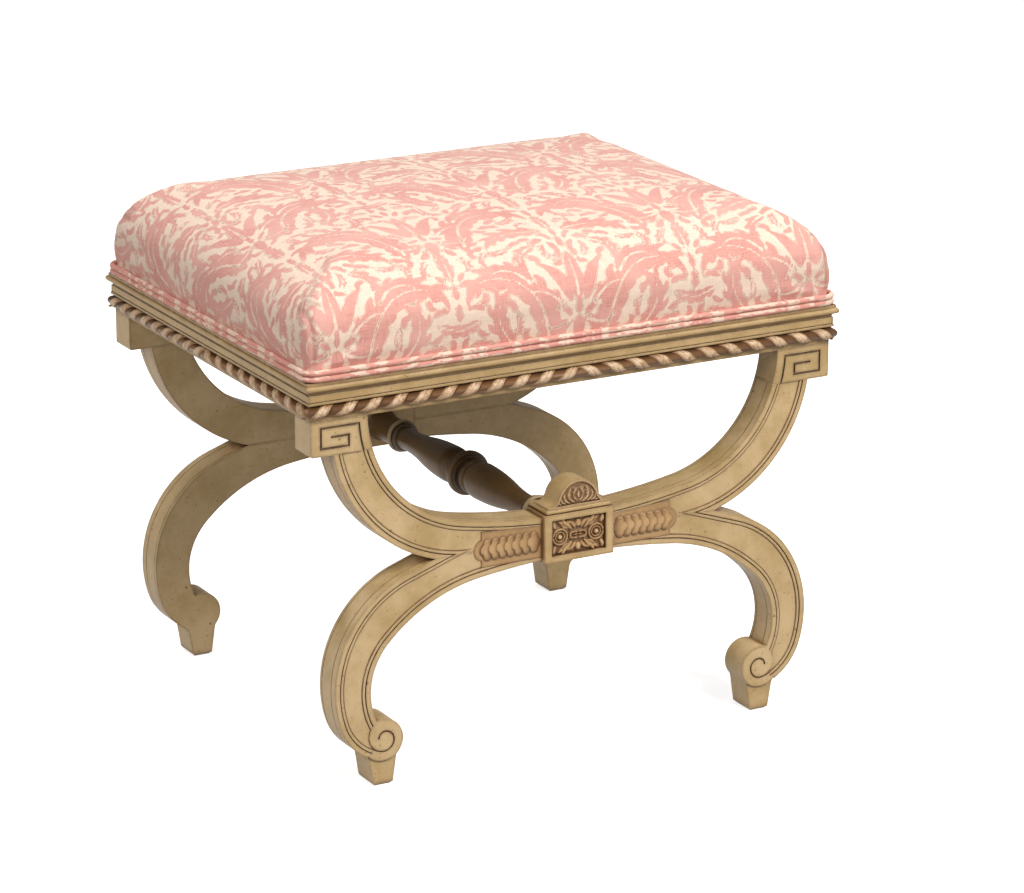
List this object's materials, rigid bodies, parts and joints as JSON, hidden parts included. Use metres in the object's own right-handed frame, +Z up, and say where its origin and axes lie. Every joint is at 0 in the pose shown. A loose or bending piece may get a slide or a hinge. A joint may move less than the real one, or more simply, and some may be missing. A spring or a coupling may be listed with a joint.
{
  "type": "x frame stool",
  "caption": "Rectangular upholstered stool on two painted X frames with scrolled legs, key blocks, carved centre tablets and a turned stretcher.",
  "frame": {"origin": "centre of the bounding box in plan, on the floor under the feet", "axes": "X along the long side of the seat, Y from front to back, Z up"},
  "size_m": [0.5824, 0.4614, 0.521],
  "materials": {
    "painted_frame": "satin",
    "carved_paint": "satin",
    "dark_turning": "satin",
    "ribbon_glaze": "satin",
    "bare_wood": "matte",
    "plywood": "matte",
    "seat_foam": "matte",
    "damask_cloth": "matte",
    "welt_cloth": "matte",
    "dust_cloth": "matte",
    "screw_steel": "satin"
  },
  "bodies": {
    "root": {"arm_front_right": "painted_frame", "arm_front_left": "painted_frame", "arm_back_right": "painted_frame", "arm_back_left": "painted_frame", "leg_front_right": "painted_frame", "leg_front_left": "painted_frame", "leg_back_right": "painted_frame", "leg_back_left": "painted_frame", "key_block_front_right": "painted_frame", "key_block_front_left": "painted_frame", "key_block_back_right": "painted_frame", "key_block_back_left": "painted_frame", "centre_block_front": "painted_frame", "centre_block_back": "painted_frame", "crest_front": "carved_paint", "crest_back": "carved_paint", "rosette_front": "carved_paint", "rosette_back": "carved_paint", "scale_panel_front_right": "carved_paint", "scale_panel_front_left": "carved_paint", "scale_panel_back_right": "carved_paint", "scale_panel_back_left": "carved_paint", "stretcher": "dark_turning", "rail_front": "painted_frame", "rail_back": "painted_frame", "rail_right": "painted_frame", "rail_left": "painted_frame", "ribbon_front": "ribbon_glaze", "ribbon_back": "ribbon_glaze", "ribbon_right": "ribbon_glaze", "ribbon_left": "ribbon_glaze", "corner_block_front_right": "bare_wood", "corner_block_front_left": "bare_wood", "corner_block_back_right": "bare_wood", "corner_block_back_left": "bare_wood", "seat_deck": "plywood", "foam_pad": "seat_foam", "seat_cover": "damask_cloth", "welt_lower": "welt_cloth", "welt_upper": "welt_cloth", "dust_cover": "dust_cloth", "waist_dowels": "bare_wood", "arm_dowels": "bare_wood", "rail_dowels": "bare_wood", "centre_dowels": "bare_wood", "deck_screws": "screw_steel"}
  },
  "joints": []
}
